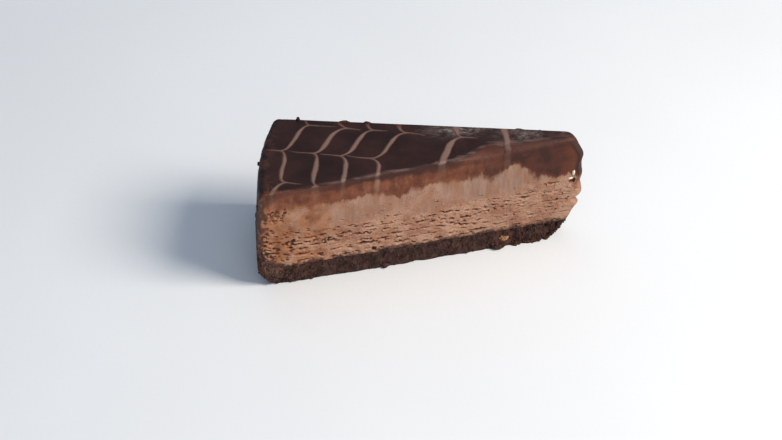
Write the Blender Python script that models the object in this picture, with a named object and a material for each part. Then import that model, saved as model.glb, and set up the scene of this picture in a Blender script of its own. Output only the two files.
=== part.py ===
# A slice of glazed chocolate cheesecake: a biscuit crust, the baked filling and a feathered glaze.
# Metres, +Z up. The slice points along +X, its rim is at -X and its front cut faces -Y.

import math

import bmesh
import bpy
from mathutils import Vector, noise

MM = 0.001

# The whole cake, and how the slice was cut from it
CAKE_RADIUS = 129.3 * MM
CUT_ANGLE = math.radians(21.1)
CUT_SKEW = 6.7 * MM  # how much shorter the back cut is than the front one
WALL_LEAN = 1.4 * MM  # how far the wall leans in from the crust's lip to the top
RIM_SHARE = 0.85  # the skew and the lean act in full from this share of the length outwards

# The blunt, broken tip
TIP_LOSS = 10.4 * MM  # from where the cuts would meet
TIP_UNDERCUT = 10.2 * MM  # how far the broken crust stays back at the floor
TIP_UNDERCUT_HEIGHT = 15.0 * MM
TIP_UNDERCUT_CURVE = 1.3
TIP_NOTCH_DEPTH = 2.4 * MM
TIP_NOTCH_HEIGHT = 16.6 * MM
TIP_NOTCH_SPREAD = 1.2 * MM
TIP_ROUND_DEPTH = 4.6 * MM
TIP_ROUND_START = 34.0 * MM
TIP_BULGE = 1.6 * MM  # how far the tip's middle stands out past its corners

# The layers
RIM_HEIGHT = 40.3 * MM
TIP_RISE = 3.4 * MM  # how much taller the cake's middle is
CRUST_HEIGHT = 7.7 * MM
LIP_HEIGHT = 19.0 * MM  # the crust runs up the wall to here
LIP_REACH = 8.9 * MM
COAT_THICKNESS = 1.4 * MM
GLAZE_THICKNESS = 2.2 * MM
GLAZE_CORNER = 2.6 * MM
BASE_ROUND_WIDTH = 9.5 * MM
BASE_ROUND_HEIGHT = 11.0 * MM
GAP = 0.3 * MM

# The top edges along the cuts: crisp at the rim, and the front one worn round near the tip
EDGE_ROUND = 0.8 * MM
BACK_ROUND = 1.1 * MM
WORN_REACH = 5.0 * MM
WORN_DROP = 2.6 * MM
WORN_FROM = 60.0 * MM
WORN_TO = 44.0 * MM
EDGE_SHARE = 0.3  # the most of the slice's width that one rounded edge takes

# Relief: rows of cracks in the filling, crags in the crust, lumps in the wall's coat
CRACK_DEPTH = 0.9 * MM
CRACK_LENGTH = 7.0 * MM
CRACK_SPACING = 3.4 * MM
CRACK_TOP = 25.0 * MM
KNIFE_WAVE_DEPTH = 0.15 * MM
KNIFE_WAVE_LENGTH = 14.0 * MM
KNIFE_WAVE_HEIGHT = 27.0 * MM
CRAG_DEPTH = 0.7 * MM
CRAG_SIZE = 4.0 * MM
CRAG_TIP_FACTOR = 2.2
CRAG_TIP_REACH = 45.0 * MM
TIP_CRAG_DEPTH = 1.4 * MM
COAT_LUMP_DEPTH = 0.35 * MM
COAT_LUMP_SIZE = 6.0 * MM
RELIEF_REACH = 3.0 * MM  # a cut's relief fades out this far into the slice
RELIEF_SHARE = 0.45  # the most of the slice's width that one cut's relief takes
RELIEF_STEEPNESS = 0.5  # the deepest relief, as a share of its reach, so that no face folds over
CRACK_SEED = 17.3
WAVE_SEED = 29.3
CRAG_SEED = 43.3
COAT_SEED = 61.3

# The feathered lines on the glaze. Places run along the pulled strokes and across them
PULL_ANGLE = math.radians(-14.0)
PULLS = ((6.0 * MM, 1), (-10.6 * MM, -1), (-28.3 * MM, 1))  # place across, and +1 for towards the tip
LINES = (-45.4 * MM, -33.8 * MM, -23.5 * MM, -12.0 * MM, 7.6 * MM, 25.5 * MM)  # places along
PATTERN_ORIGIN = 67.0 * MM  # from those places' zero to where the cuts would meet
LINE_SLANT = 0.06
LINE_WIDTH = 1.6 * MM
TAIL_WIDTH = 0.55 * MM
TAIL_REACH = 10.0 * MM
CUSP_REACH = 3.6 * MM
CUSP_FALL = 2.0 * MM
CUSP_SPAN = 6.0 * MM  # the line has its full width from this far off a pull
RIDGE_HEIGHT = 0.4 * MM
RIDGE_SINK = 0.8 * MM
RIDGE_SHOULDER = 0.15 * MM
RIDGE_CREST_SHARE = 0.55
LINE_MARGIN = 0.9 * MM
LINE_ENDS = (-45.0 * MM, 30.0 * MM)

# How finely the surfaces are divided
LENGTH_STEPS = 40
FILLING_LENGTH_STEPS = 56
LENGTH_EASE = 1.15  # over 1 sets the steps closer together at the tip
FILLET_STEPS = 7
ACROSS_STEPS = 4
FRONT_EDGE_PARTS = (0.12, 0.45)
BACK_EDGE_PART = 0.4
FILLING_LEVELS = 18
CRUST_LEVELS = 4
CORNER_STEPS = 4
SKIRT_STEPS = 5
LINE_STEPS = 13
TAIL_STEPS = 3
INVERSE_STEPS = 8
SMOOTH_ANGLE = math.radians(35)
FLAT_ANGLE = math.radians(0.2)


def smooth_step(low, high, value):
    t = min(1.0, max(0.0, (value - low) / (high - low)))
    return t * t * (3 - 2 * t)


def round_drop(inward, drop):
    # How far a rounded edge has dropped, at a share of its reach in from the edge
    share = min(1.0, max(0.0, inward))
    return drop * (1 - math.sqrt(share * (2 - share)))


def lumps(x, y, z, seed):
    return noise.noise(Vector((x + seed, y - seed, z + 2 * seed)))


# The slice's own measures: r from where the cuts would meet, t from the front cut (0) to the back (1)


def width_at(r):
    return r * CUT_ANGLE


def worn(r, most):
    return EDGE_ROUND + (most - EDGE_ROUND) * (1 - smooth_step(WORN_TO, WORN_FROM, r))


def edge_reaches(r):
    # How far in from the front and the back cut the top edges are rounded
    most = EDGE_SHARE * width_at(r)
    return min(worn(r, WORN_REACH), most), min(BACK_ROUND, most)


def level_top(r):
    return RIM_HEIGHT + TIP_RISE * (1 - r / CAKE_RADIUS)


def top_height(r, t):
    front, back = edge_reaches(r)
    height = level_top(r) - round_drop(t * width_at(r) / front, worn(r, WORN_DROP))
    return height - round_drop((1 - t) * width_at(r) / back, BACK_ROUND)


def glaze_underside(r, t):
    # Level below the crisp edges, so the glaze is thinner there, and lower where the edge is worn
    front, _ = edge_reaches(r)
    from_reach = max(0.0, 1 - t * width_at(r) / front)
    return level_top(r) - GLAZE_THICKNESS - (worn(r, WORN_DROP) - EDGE_ROUND) * from_reach**2


def fillet_start():
    return CAKE_RADIUS - COAT_THICKNESS - LIP_REACH


def crust_top(r, gap=0.0):
    # Flat, then a fillet that runs up the wall as a thin lip
    across = min(1.0, max(0.0, (r - fillet_start()) / (LIP_REACH - gap)))
    return LIP_HEIGHT - (LIP_HEIGHT - CRUST_HEIGHT - gap) * math.sqrt(1 - across * across)


def crust_bottom(r):
    across = min(1.0, max(0.0, (r - CAKE_RADIUS) / BASE_ROUND_WIDTH + 1))
    return BASE_ROUND_HEIGHT * (1 - math.sqrt(1 - across * across))


def tip_setback(z, t):
    undercut = max(0.0, 1 - z / TIP_UNDERCUT_HEIGHT) ** TIP_UNDERCUT_CURVE
    rounded = max(0.0, (z - TIP_ROUND_START) / (RIM_HEIGHT + TIP_RISE - TIP_ROUND_START)) ** 2
    notch = math.exp(-(((z - TIP_NOTCH_HEIGHT) / TIP_NOTCH_SPREAD) ** 2))
    setback = TIP_UNDERCUT * undercut + TIP_ROUND_DEPTH * rounded + TIP_NOTCH_DEPTH * notch
    crags = lumps(0, t * width_at(TIP_LOSS) / CRAG_SIZE, z / CRAG_SIZE, CRAG_SEED)
    return setback + TIP_BULGE * (2 * t - 1) ** 2 + TIP_CRAG_DEPTH * crags


def place(r, t, z):
    along = (r - TIP_LOSS) / (CAKE_RADIUS - TIP_LOSS)
    lean = WALL_LEAN * max(0.0, (z - LIP_HEIGHT) / (RIM_HEIGHT - LIP_HEIGHT))
    shifted = r + tip_setback(z, t) * (1 - along) ** 3
    shifted -= (CUT_SKEW * t + lean) * min(1.0, along / RIM_SHARE) ** 2
    angle = (t - 0.5) * CUT_ANGLE
    return Vector((-shifted * math.cos(angle), shifted * math.sin(angle), z))


def slice_measures(point):
    # r and t of a point on the top, which place would put there
    distance = math.hypot(point.x, point.y)
    t = min(1.0, max(0.0, 0.5 + math.atan2(point.y, -point.x) / CUT_ANGLE))
    r = distance
    for _ in range(INVERSE_STEPS):
        r += distance - place(r, t, RIM_HEIGHT).xy.length
    return r, t


def places_across(r):
    # From the front cut to the back, close together where the top edges are rounded
    front, back = (reach / width_at(r) for reach in edge_reaches(r))
    edge = [0.0] + [part * front for part in FRONT_EDGE_PARTS]
    middle = [front + (1 - back - front) * i / ACROSS_STEPS for i in range(ACROSS_STEPS + 1)]
    return edge + middle + [1 - BACK_EDGE_PART * back, 1.0]


ACROSS_COUNT = len(places_across(CAKE_RADIUS))


def lengthwise(stop, steps):
    return [TIP_LOSS + (stop - TIP_LOSS) * (i / steps) ** LENGTH_EASE for i in range(steps + 1)]


def up_the_fillet(stop):
    start = fillet_start()
    turns = [0.5 * math.pi * (i + 1) / FILLET_STEPS for i in range(FILLET_STEPS)]
    return [start + (stop - start) * math.sin(turn) for turn in turns]


def crack_relief(r, z, side):
    # Rows of short level cracks low in the filling, and faint knife waves above them
    rows = lumps(r / CRACK_LENGTH, side, z / CRACK_SPACING, CRACK_SEED)
    waves = lumps(r / KNIFE_WAVE_LENGTH, side, z / KNIFE_WAVE_HEIGHT, WAVE_SEED)
    low = 1 - smooth_step(CRACK_TOP - CRACK_SPACING, CRACK_TOP + CRACK_SPACING, z)
    return KNIFE_WAVE_DEPTH * waves - CRACK_DEPTH * max(0.0, rows) * low


def crag_relief(r, z, side):
    crags = lumps(r / CRAG_SIZE, side, z / CRAG_SIZE, CRAG_SEED)
    near_tip = 1 - smooth_step(TIP_LOSS, CRAG_TIP_REACH, r)
    return CRAG_DEPTH * crags * (1 + (CRAG_TIP_FACTOR - 1) * near_tip)


def place_with_relief(r, t, z, relief):
    # The relief of the nearer cut moves the place across the slice, less and less further in
    width = width_at(r)
    reach = min(RELIEF_REACH, RELIEF_SHARE * width)
    side = round(t)
    fade = max(0.0, 1 - abs(t - side) * width / reach)
    most = RELIEF_STEEPNESS * reach
    outwards = fade * min(most, max(-most, relief(r, z, side)))
    return place(r, t + (2 * side - 1) * outwards / width, z)


def coat_relief(point):
    # Only inwards, so that the coat keeps the wall's own outline
    x, y, z = point / COAT_LUMP_SIZE
    return COAT_LUMP_DEPTH * max(0.0, lumps(x, y, z, COAT_SEED))


def finish_mesh(mesh, name, material=None):
    data = bpy.data.meshes.new(name)
    mesh.to_mesh(data)
    mesh.free()
    if material:
        data.materials.append(material)
    return bpy.data.objects.new(name, data)


def shade(built):
    built.data.shade_smooth()
    built.data.set_sharp_from_angle(angle=SMOOTH_ANGLE)


def grid_solid(name, rows, levels, point_at, material):
    # A closed solid of six gridded sides. point_at(i, j, k) places the point along, across and up
    mesh = bmesh.new()
    corners = {}
    last = (rows - 1, ACROSS_COUNT - 1, levels - 1)

    def corner(index):
        if index not in corners:
            corners[index] = mesh.verts.new(point_at(*index))
        return corners[index]

    def add_side(axis, end):
        # Along is -X, so these loops already face out at the tip, the back cut and the underside
        turned = (end == 0) == (axis == 1)
        first, second = [other for other in range(3) if other != axis]
        for a in range(last[first]):
            for b in range(last[second]):
                loop = []
                for da, db in ((0, 0), (1, 0), (1, 1), (0, 1)):
                    index = [end, end, end]
                    index[first] = a + da
                    index[second] = b + db
                    loop.append(corner(tuple(index)))
                mesh.faces.new(loop[::-1] if turned else loop)

    for axis in range(3):
        add_side(axis, 0)
        add_side(axis, last[axis])
    built = finish_mesh(mesh, name, material)
    bpy.context.collection.objects.link(built)
    shade(built)
    return built


def merge_flats(built):
    # Flat areas become single faces, so triangles go only where there is relief
    merge = built.modifiers.new("Flat areas", "DECIMATE")
    merge.decimate_type = "DISSOLVE"
    merge.angle_limit = FLAT_ANGLE


def make_material(name, color, roughness, coat=0.0):
    material = bpy.data.materials.new(name)
    material.use_nodes = True
    shader = material.node_tree.nodes["Principled BSDF"]
    shader.inputs["Base Color"].default_value = (*color, 1)
    shader.inputs["Roughness"].default_value = roughness
    shader.inputs["Metallic"].default_value = 0
    shader.inputs["Coat Weight"].default_value = coat
    return material


def make_crust(material):
    lip = [CAKE_RADIUS - COAT_THICKNESS / 2, CAKE_RADIUS]
    radii = lengthwise(fillet_start(), LENGTH_STEPS) + up_the_fillet(CAKE_RADIUS - COAT_THICKNESS) + lip

    def point_at(i, j, k):
        r = radii[i]
        t = places_across(r)[j]
        low = crust_bottom(r)
        high = min(crust_top(r), LIP_HEIGHT - GAP)
        z = low + (high - low) * k / (CRUST_LEVELS - 1)
        point = place_with_relief(r, t, z, crag_relief)
        if i == len(radii) - 1:
            point.x += coat_relief(point)
        return point

    built = grid_solid("biscuit_crust", len(radii), CRUST_LEVELS, point_at, material)
    merge_flats(built)
    return built


def make_filling(material):
    wall = CAKE_RADIUS - COAT_THICKNESS - GAP
    radii = lengthwise(fillet_start(), FILLING_LENGTH_STEPS) + up_the_fillet(wall)

    def point_at(i, j, k):
        r = radii[i]
        t = places_across(r)[j]
        low = crust_top(r, GAP)
        high = glaze_underside(r, t) - GAP
        z = low + (high - low) * k / (FILLING_LEVELS - 1)
        return place_with_relief(r, t, z, crack_relief)

    built = grid_solid("chocolate_filling", len(radii), FILLING_LEVELS, point_at, material)
    merge_flats(built)
    return built


def make_glaze(material):
    # The poured top, which turns down over the rim and coats the wall as far as the crust's lip
    corner_start = CAKE_RADIUS - GLAZE_CORNER
    wall = CAKE_RADIUS - COAT_THICKNESS
    radii = lengthwise(corner_start, LENGTH_STEPS)
    skirt_start = len(radii) + CORNER_STEPS

    def down_the_wall(i, r, start):
        share = (i - skirt_start + 1) / SKIRT_STEPS
        return r, start + (LIP_HEIGHT - start) * share

    def outer_point(i, t):
        if i < len(radii):
            return radii[i], top_height(radii[i], t)
        if i < skirt_start:
            turn = 0.5 * math.pi * (i - len(radii) + 1) / CORNER_STEPS
            r = corner_start + GLAZE_CORNER * math.sin(turn)
            return r, top_height(r, t) - GLAZE_CORNER * (1 - math.cos(turn))
        return down_the_wall(i, CAKE_RADIUS, top_height(CAKE_RADIUS, t) - GLAZE_CORNER)

    def inner_point(i, t):
        if i >= skirt_start:
            return down_the_wall(i, wall, glaze_underside(wall, t))
        past = max(0, i - len(radii) + 1) / CORNER_STEPS
        r = radii[min(i, len(radii) - 1)] + (wall - corner_start) * past
        return r, glaze_underside(r, t)

    def point_at(i, j, k):
        t = places_across(radii[min(i, len(radii) - 1)])[j]
        r, z = outer_point(i, t) if k else inner_point(i, t)
        point = place(r, t, z)
        if k and i >= skirt_start:
            point.x += coat_relief(point)
        return point

    return grid_solid("chocolate_glaze", skirt_start + SKIRT_STEPS, 2, point_at, material)


# The feathered lines: each is piped across the cake, then dragged into points by strokes along it


def pattern_point(along, across):
    pull = Vector((math.cos(PULL_ANGLE), math.sin(PULL_ANGLE), 0))
    side = Vector((-pull.y, pull.x, 0))
    return pull * along + side * across - Vector((PATTERN_ORIGIN, 0, 0))


def line_point(line, across):
    along = line + LINE_SLANT * across
    for pull, direction in PULLS:
        along += direction * CUSP_REACH * math.exp(-abs(across - pull) / CUSP_FALL)
    return pattern_point(along, across)


def line_width(across):
    off_pull = min(abs(across - pull) for pull, _ in PULLS)
    return TAIL_WIDTH + (LINE_WIDTH - TAIL_WIDTH) * smooth_step(0, CUSP_SPAN, off_pull)


def on_glaze(point):
    r, t = slice_measures(point)
    inside = LINE_MARGIN < t * width_at(r) < width_at(r) - LINE_MARGIN
    return inside and TIP_LOSS + TIP_ROUND_DEPTH < r < CAKE_RADIUS - GLAZE_CORNER


def ridge(spine, widths, collection):
    # A low ridge along the points, flat on its crest and with its lower part sunk in the glaze
    mesh = bmesh.new()
    up = Vector((0, 0, 1))
    rings = []
    for i, point in enumerate(spine):
        ahead = spine[min(i + 1, len(spine) - 1)] - spine[max(i - 1, 0)]
        side = Vector((-ahead.y, ahead.x, 0)).normalized() * widths[i] / 2
        middle = point + up * top_height(*slice_measures(point))
        shoulder = middle - up * RIDGE_SHOULDER
        crest = middle + up * RIDGE_HEIGHT
        section = (shoulder + side, crest + side * RIDGE_CREST_SHARE, crest - side * RIDGE_CREST_SHARE)
        section += (shoulder - side, middle - up * RIDGE_SINK)
        rings.append([mesh.verts.new(where) for where in section])
    for first, second in zip(rings, rings[1:]):
        for a in range(len(first)):
            b = (a + 1) % len(first)
            mesh.faces.new((first[a], first[b], second[b], second[a]))
    mesh.faces.new(rings[0][::-1])
    mesh.faces.new(rings[-1])
    collection.objects.link(finish_mesh(mesh, "feathered_line"))


def add_line(line, low, high, collection):
    # One line's stretch between two pulls
    shares = [0.5 - 0.5 * math.cos(math.pi * i / LINE_STEPS) for i in range(LINE_STEPS + 1)]
    places = [low + (high - low) * share for share in shares]
    kept = [across for across in places if on_glaze(line_point(line, across))]
    if len(kept) > 2:
        spine = [line_point(line, across) for across in kept]
        ridge(spine, [line_width(across) for across in kept], collection)


def add_tail(line, pull, direction, collection):
    # The point that a stroke drags out of a line
    start = line + LINE_SLANT * pull + direction * CUSP_REACH / 2
    reach = direction * (TAIL_REACH - CUSP_REACH / 2)
    spine = [pattern_point(start + reach * i / TAIL_STEPS, pull) for i in range(TAIL_STEPS + 1)]
    if all(on_glaze(point) for point in spine):
        ridge(spine, [TAIL_WIDTH] * len(spine), collection)


def fuse_feathering(glaze):
    collection = bpy.data.collections.new("Feathered lines")
    bpy.context.scene.collection.children.link(collection)
    edges = sorted([pull for pull, _ in PULLS] + list(LINE_ENDS))
    for line in LINES:
        for low, high in zip(edges, edges[1:]):
            add_line(line, low, high, collection)
        for pull, direction in PULLS:
            add_tail(line, pull, direction, collection)
    union = glaze.modifiers.new("Feathered lines", "BOOLEAN")
    union.operation = "UNION"
    union.operand_type = "COLLECTION"
    union.collection = collection
    union.solver = "EXACT"
    bpy.context.view_layer.objects.active = glaze
    bpy.ops.object.modifier_apply(modifier=union.name)
    for helper in list(collection.objects):
        bpy.data.objects.remove(helper)
    bpy.data.collections.remove(collection)
    shade(glaze)


def stand_on_origin(parts):
    # The middle of the slice's own box comes to the origin, with its underside at zero
    bpy.context.view_layer.update()
    corners = [vertex.co for part in parts for vertex in part.data.vertices]
    low = [min(corner[axis] for corner in corners) for axis in range(3)]
    high = [max(corner[axis] for corner in corners) for axis in range(3)]
    for part in parts:
        part.location = (-(low[0] + high[0]) / 2, -(low[1] + high[1]) / 2, -low[2])


for old in list(bpy.data.objects):
    bpy.data.objects.remove(old, do_unlink=True)

biscuit = make_material("Dark biscuit crumb", (0.055, 0.034, 0.024), 0.85)
baked = make_material("Baked chocolate filling", (0.30, 0.15, 0.10), 0.6)
glazed = make_material("Dark chocolate glaze", (0.035, 0.022, 0.020), 0.3, coat=0.3)

slice_glaze = make_glaze(glazed)
fuse_feathering(slice_glaze)
stand_on_origin([make_crust(biscuit), make_filling(baked), slice_glaze])
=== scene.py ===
import math
from functools import partial

import bmesh
import bpy
import numpy as np
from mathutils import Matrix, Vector, kdtree, noise


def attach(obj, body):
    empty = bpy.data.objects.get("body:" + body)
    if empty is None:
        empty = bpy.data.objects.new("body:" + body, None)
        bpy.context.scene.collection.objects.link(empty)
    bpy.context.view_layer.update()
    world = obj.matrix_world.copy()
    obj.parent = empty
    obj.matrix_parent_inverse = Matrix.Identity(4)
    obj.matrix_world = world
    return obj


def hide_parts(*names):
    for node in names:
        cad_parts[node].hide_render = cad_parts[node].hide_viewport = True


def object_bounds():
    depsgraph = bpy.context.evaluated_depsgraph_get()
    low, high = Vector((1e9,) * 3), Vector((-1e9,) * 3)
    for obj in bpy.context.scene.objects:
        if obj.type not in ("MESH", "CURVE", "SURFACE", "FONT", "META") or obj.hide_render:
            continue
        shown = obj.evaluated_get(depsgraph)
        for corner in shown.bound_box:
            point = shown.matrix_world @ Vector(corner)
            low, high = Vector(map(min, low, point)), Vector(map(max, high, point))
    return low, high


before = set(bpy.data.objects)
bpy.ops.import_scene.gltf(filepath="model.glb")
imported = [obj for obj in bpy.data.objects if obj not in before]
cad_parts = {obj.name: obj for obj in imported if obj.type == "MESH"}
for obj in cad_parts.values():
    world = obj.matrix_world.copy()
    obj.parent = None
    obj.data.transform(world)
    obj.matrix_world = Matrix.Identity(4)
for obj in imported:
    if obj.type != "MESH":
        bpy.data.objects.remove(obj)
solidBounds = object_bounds()
mm = 0.001
print("frame loaded")

# The slice's form, as in its solids but for the tip. r runs from where the cuts would meet, t across them
cake = {
    "meetX": 68.35 * mm,
    "meetY": 0.57 * mm,
    "radius": 129.3 * mm,
    "cutAngle": math.radians(21.1),
    "skew": 6.7 * mm,
    "lean": 1.4 * mm,
    "rimShare": 0.85,
    "tipLoss": 10.4 * mm,
    "undercut": 10.2 * mm,
    "undercutHeight": 15.0 * mm,
    "undercutCurve": 1.3,
    "notchDepth": 2.9 * mm,  # the notch and the crags are up to a millimetre off the solids, for a truer tip
    "notchHeight": 15.9 * mm,
    "notchSpread": 1.2 * mm,
    "tipRound": 4.6 * mm,
    "tipRoundStart": 34.0 * mm,
    "tipBulge": 1.6 * mm,
    "tipCrags": 0.8 * mm,
    "cragSize": 4.0 * mm,
    "cragSeed": 43.3,
    "rimHeight": 40.3 * mm,
    "tipRise": 3.4 * mm,
    "crust": 7.7 * mm,
    "lip": 19.0 * mm,
    "lipReach": 8.9 * mm,
    "coat": 1.4 * mm,
    "glaze": 2.2 * mm,
    "glazeCorner": 2.6 * mm,
    "baseWidth": 9.5 * mm,
    "baseHeight": 11.0 * mm,
    "edgeRound": 0.8 * mm,
    "backRound": 1.1 * mm,
    "wornReach": 5.0 * mm,
    "wornDrop": 2.6 * mm,
    "wornFrom": 60.0 * mm,
    "wornTo": 44.0 * mm,
    "edgeShare": 0.3,
    "reliefReach": 3.0 * mm,
    "reliefShare": 0.45,
}
radius, tipLoss = cake["radius"], cake["tipLoss"]
innerWall = radius - cake["coat"]
filletStart = innerWall - cake["lipReach"]


def smoothStep(low, high, value):
    t = np.clip((value - low) / (high - low), 0, 1)
    return t * t * (3 - 2 * t)


def lumps(x, y, z, seed):
    # Smooth noise at many places at once, the same as in the solids
    spots = np.broadcast_arrays(x + seed, y - seed, z + 2 * seed)
    flat = np.stack([spot.ravel() for spot in spots], 1)
    return np.array([noise.noise(spot) for spot in flat.tolist()]).reshape(spots[0].shape)


def widthAt(r):
    return r * cake["cutAngle"]


def worn(r, most):
    fresh = cake["edgeRound"]
    return fresh + (most - fresh) * (1 - smoothStep(cake["wornTo"], cake["wornFrom"], r))


def edgeReaches(r):
    most = cake["edgeShare"] * widthAt(r)
    return np.minimum(worn(r, cake["wornReach"]), most), np.minimum(cake["backRound"], most)


def levelTop(r):
    return cake["rimHeight"] + cake["tipRise"] * (1 - r / radius)


def roundDrop(inward, drop):
    share = np.clip(inward, 0, 1)
    return drop * (1 - np.sqrt(share * (2 - share)))


def topHeight(r, t):
    front, back = edgeReaches(r)
    height = levelTop(r) - roundDrop(t * widthAt(r) / front, worn(r, cake["wornDrop"]))
    return height - roundDrop((1 - t) * widthAt(r) / back, cake["backRound"])


def glazeUnderside(r, t):
    fromReach = np.maximum(0, 1 - t * widthAt(r) / edgeReaches(r)[0])
    sag = (worn(r, cake["wornDrop"]) - cake["edgeRound"]) * fromReach**2
    return levelTop(r) - cake["glaze"] - sag


def crustTop(r):
    across = np.clip((r - filletStart) / cake["lipReach"], 0, 1)
    return cake["lip"] - (cake["lip"] - cake["crust"]) * np.sqrt(1 - across * across)


def crustBottom(r):
    across = np.clip((r - radius) / cake["baseWidth"] + 1, 0, 1)
    return cake["baseHeight"] * (1 - np.sqrt(1 - across * across))


def tipSetback(z, t):
    under = np.maximum(0, 1 - z / cake["undercutHeight"]) ** cake["undercutCurve"]
    roundSpan = cake["rimHeight"] + cake["tipRise"] - cake["tipRoundStart"]
    rounded = np.maximum(0, (z - cake["tipRoundStart"]) / roundSpan) ** 2
    notch = np.exp(-(((z - cake["notchHeight"]) / cake["notchSpread"]) ** 2))
    size = cake["cragSize"]
    crags = lumps(0, t * widthAt(tipLoss) / size, z / size, cake["cragSeed"])
    setback = cake["undercut"] * under + cake["tipRound"] * rounded + cake["notchDepth"] * notch
    return setback + cake["tipBulge"] * (2 * t - 1) ** 2 + cake["tipCrags"] * crags


def placeOnSlice(r, t, z):
    r, t, z = np.broadcast_arrays(r, t, z)
    along = (r - tipLoss) / (radius - tipLoss)
    lean = cake["lean"] * np.maximum(0, (z - cake["lip"]) / (cake["rimHeight"] - cake["lip"]))
    shifted = r + tipSetback(z, t) * (1 - along) ** 3
    shifted = shifted - (cake["skew"] * t + lean) * np.minimum(1, along / cake["rimShare"]) ** 2
    angle = (t - 0.5) * cake["cutAngle"]
    x = cake["meetX"] - shifted * np.cos(angle)
    return np.stack([x, cake["meetY"] + shifted * np.sin(angle), z], -1)


def reliefReach(r):
    return np.minimum(cake["reliefReach"], cake["reliefShare"] * widthAt(r))


def placeWithRelief(r, t, z, relief):
    # Relief on the nearer cut moves a place across the slice, less and less further in
    width, reach, side = widthAt(r), reliefReach(r), np.round(t)
    fade = np.maximum(0, 1 - np.abs(t - side) * width / reach)
    outward = fade * np.clip(relief, -0.5 * reach, 0.5 * reach)
    return placeOnSlice(r, t + (2 * side - 1) * outward / width, z)


def seamWave(r, t):
    # How far the crust and the filling wander from their level seam
    span = t * widthAt(r)
    broad = lumps(r / (3.2 * mm), span / (3.2 * mm), 0.5, 7.7)
    fine = lumps(r / (1.1 * mm), span / (1.1 * mm), 0.5, 9.1)
    flat = 1 - smoothStep(filletStart - 2 * mm, filletStart + 4 * mm, r)
    return flat * (0.55 * mm * broad + 0.25 * mm * fine)


def rowsAlong(piece):
    # Rows from the tip to the coat, closer together where the crust turns up the rim
    rows = np.arange(tipLoss, filletStart, piece["spacing"])
    turns = 0.5 * math.pi * np.arange(1, piece["filletRows"] + 1) / piece["filletRows"]
    return np.append(rows, filletStart + (innerWall - filletStart) * np.sin(turns))


def columnsAcross(r, piece):
    # Places across each row, closest together next to the cuts
    reach = (reliefReach(r) / widthAt(r))[:, None]
    edge = reach * np.array(piece["edgeShares"])
    middle = reach + (1 - 2 * reach) * np.arange(1, piece["middleSteps"]) / piece["middleSteps"]
    return np.hstack([edge, middle, 1 - edge[:, ::-1]])


def gridShell(rows, levels, piece):
    # The points of a gridded block's six sides: indices, places and levels, and faces that turn out
    columns = columnsAcross(rows, piece)
    shape = (*columns.shape, len(levels))
    index = -np.ones(shape, int)
    shell = np.zeros(shape, bool)
    sides = [(axis, end, (slice(None),) * axis + (end,)) for axis in range(3) for end in (0, -1)]
    for axis, end, side in sides:
        shell[side] = True
    index[shell] = np.arange(shell.sum())
    faces = []
    for axis, end, side in sides:
        flat = index[side]
        loops = [flat[:-1, :-1], flat[1:, :-1], flat[1:, 1:], flat[:-1, 1:]]
        quads = np.stack([loop.ravel() for loop in loops], 1)
        faces.append(quads[:, ::-1] if (end == 0) == (axis == 1) else quads)
    i, j, k = np.nonzero(shell)
    return (i, j, k), rows[i], columns[i, j], levels[k], np.vstack(faces)


def linkPiece(name, data):
    made = bpy.data.objects.new(name, data)
    bpy.context.collection.objects.link(made)
    return made


def keepInside(places):
    # No point passes the box round the solids
    return np.clip(places, *solidBounds)


def readPoints(data, kind):
    numbers = np.empty(len(data.vertices) * 3)
    data.vertices.foreach_get(kind, numbers)
    return numbers.reshape(-1, 3)


def movePoints(data, places):
    data.vertices.foreach_set("co", keepInside(places).ravel())
    data.update()


def pushOut(data, amounts):
    # Moves each point along its own normal
    movePoints(data, readPoints(data, "co") + readPoints(data, "normal") * amounts[:, None])


def keepCorners(data):
    # Shading breaks where a piece really turns a corner
    data.set_sharp_from_angle(angle=math.radians(58))


def makeMesh(name, places, faces, material, values):
    data = bpy.data.meshes.new(name)
    data.from_pydata(keepInside(places).tolist(), [], [list(face) for face in faces])
    for label, numbers in values.items():
        kept = data.attributes.new(label, "FLOAT", "POINT")
        kept.data.foreach_set("value", np.asarray(numbers, np.float32).ravel())
    data.materials.append(material)
    data.shade_smooth()
    data.update()
    return linkPiece(name, data)


def settle(piece, slotName, *nodes):
    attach(piece, "root")
    if nodes:
        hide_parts(*nodes)


print("form ready")


# Shader helpers


def shade(text):
    # A colour as a picture shows it, in the linear values that shaders take
    parts = [int(text[place : place + 2], 16) / 255 for place in (1, 3, 5)]
    return [p / 12.92 if p <= 0.04045 else ((p + 0.055) / 1.055) ** 2.4 for p in parts] + [1]


def fill(made, values):
    # Links a node's inputs to sockets, or sets them to plain values
    for label, value in values.items():
        if isinstance(value, bpy.types.NodeSocket):
            made.id_data.links.new(value, made.inputs[label])
        else:
            made.inputs[label].default_value = value
    return made.outputs


def newNode(kind, values):
    # A node in the tree that the sockets among its values are in
    tree = next(value.id_data for value in values if isinstance(value, bpy.types.NodeSocket))
    return tree.nodes.new(kind)


def addNode(kind, values):
    return fill(newNode(kind, values.values()), values)


def mixShades(share, *tones):
    first, second = (shade(tone) if isinstance(tone, str) else tone for tone in tones)
    made = newNode("ShaderNodeMix", (share, first, second))
    made.data_type = "RGBA"
    return fill(made, {0: share, 6: first, 7: second})[2]


def layered(face, *coats):
    # A face under coats, from the lowest up: how much each covers, and its colour
    for share, tone in coats:
        face = mixShades(share, face, tone)
    return face


def reckon(operation, first, *others):
    for other in others:
        made = newNode("ShaderNodeMath", (first, other))
        made.operation = operation
        first = fill(made, {0: first, 1: other})[0]
    return first


plus, minus = partial(reckon, "ADD"), partial(reckon, "SUBTRACT")
times, greatest = partial(reckon, "MULTIPLY"), partial(reckon, "MAXIMUM")


def centred(value, size):
    # Noise that runs both ways from nothing
    return times(minus(value, 0.5), size)


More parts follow.
